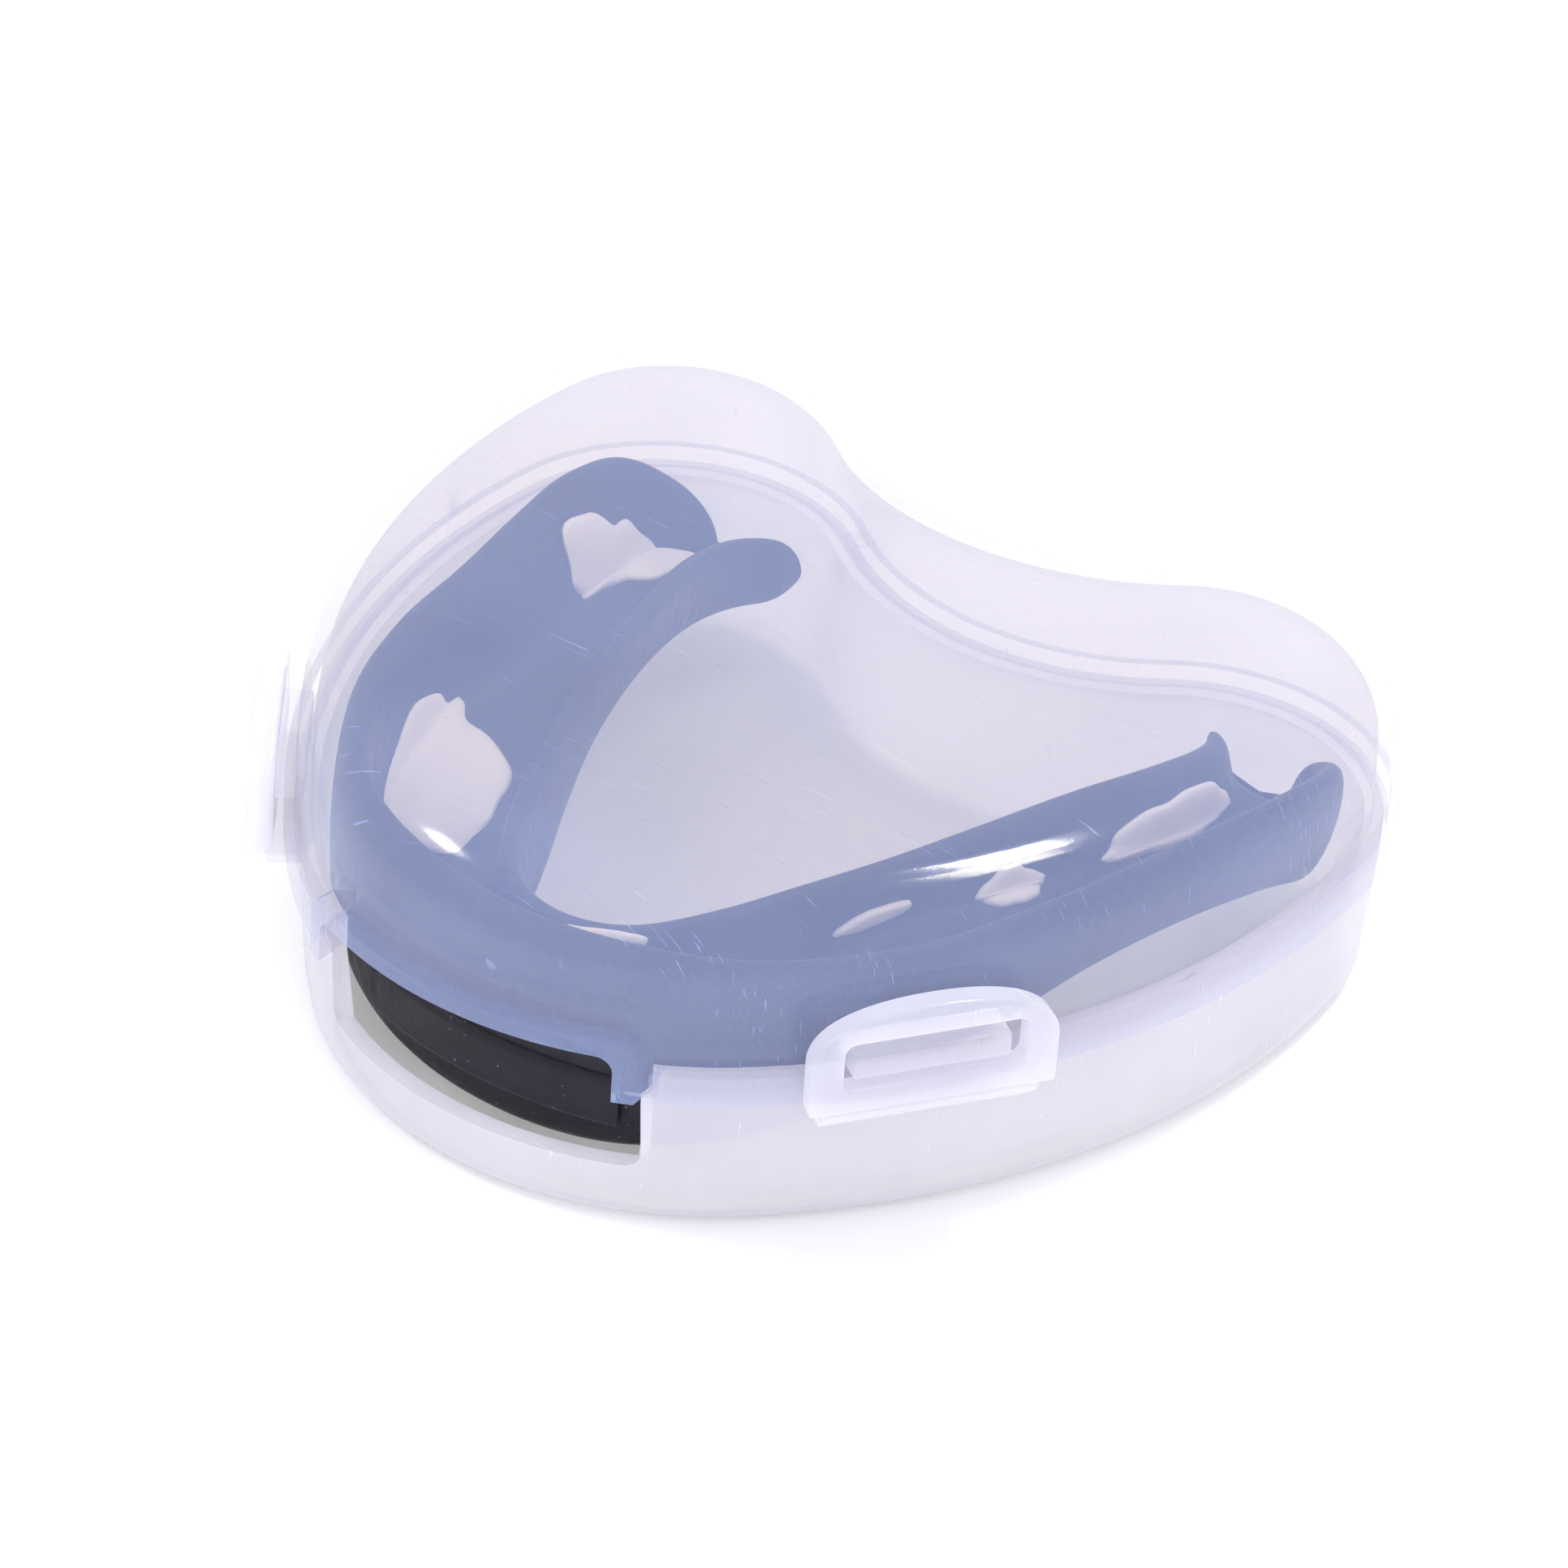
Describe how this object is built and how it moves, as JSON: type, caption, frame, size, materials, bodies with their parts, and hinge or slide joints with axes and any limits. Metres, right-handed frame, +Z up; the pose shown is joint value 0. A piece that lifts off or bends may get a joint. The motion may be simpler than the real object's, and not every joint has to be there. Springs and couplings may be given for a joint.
{
  "type": "mouthguard case",
  "caption": "Kidney-shaped translucent case with lift-off domed lid, front window and D-shaped snap flaps, holding a black U-shaped boxing mouthguard",
  "frame": {"origin": "centre of the closed case's bounding box in plan, on the surface that the case stands on", "axes": "+Z up; -Y to the front window; +Y to the notch between the two lobes; +X to the right lobe, seen from the window side"},
  "size_m": [0.08, 0.0753, 0.0275],
  "materials": {
    "clear_case": "translucent milky polypropylene with a cool lilac cast, glossy, finely scuffed",
    "clear_latch": "the same translucent polypropylene in thicker sections, so whiter, with frosted cut faces",
    "black_rubber": "black moulded EVA, satin, with soft moulding lines",
    "pale_gel": "pale pinkish soft gel, satin"
  },
  "bodies": {
    "base": {"case_base": "clear_case", "living_hinge_right": "clear_latch", "living_hinge_left": "clear_latch"},
    "lid": {"case_lid": "clear_case"},
    "flap_right": {"latch_flap_right": "clear_latch"},
    "flap_left": {"latch_flap_left": "clear_latch"},
    "mouthguard": {"mouthguard_shell": "black_rubber", "gel_pad_front": "pale_gel", "gel_pad_side_right": "pale_gel", "gel_pad_side_left": "pale_gel", "gel_pad_rear_right": "pale_gel", "gel_pad_rear_left": "pale_gel"}
  },
  "joints": [
    {"name": "lid_lift", "type": "slide", "parent": "base", "child": "lid", "axis": [0, 0, 1], "range_m": [0, 0.06]},
    {"name": "latch_right", "type": "hinge", "parent": "base", "child": "flap_right", "pos_m": [0.0298, -0.01997, 0.012], "axis": [0.5736, 0.8192, 0], "range_deg": [0, 110]},
    {"name": "latch_left", "type": "hinge", "parent": "base", "child": "flap_left", "pos_m": [-0.0298, -0.01997, 0.012], "axis": [0.5736, -0.8192, 0], "range_deg": [0, 110]},
    {"name": "mouthguard_lift", "type": "slide", "parent": "base", "child": "mouthguard", "axis": [0, 0, 1], "range_m": [0, 0.003]}
  ]
}
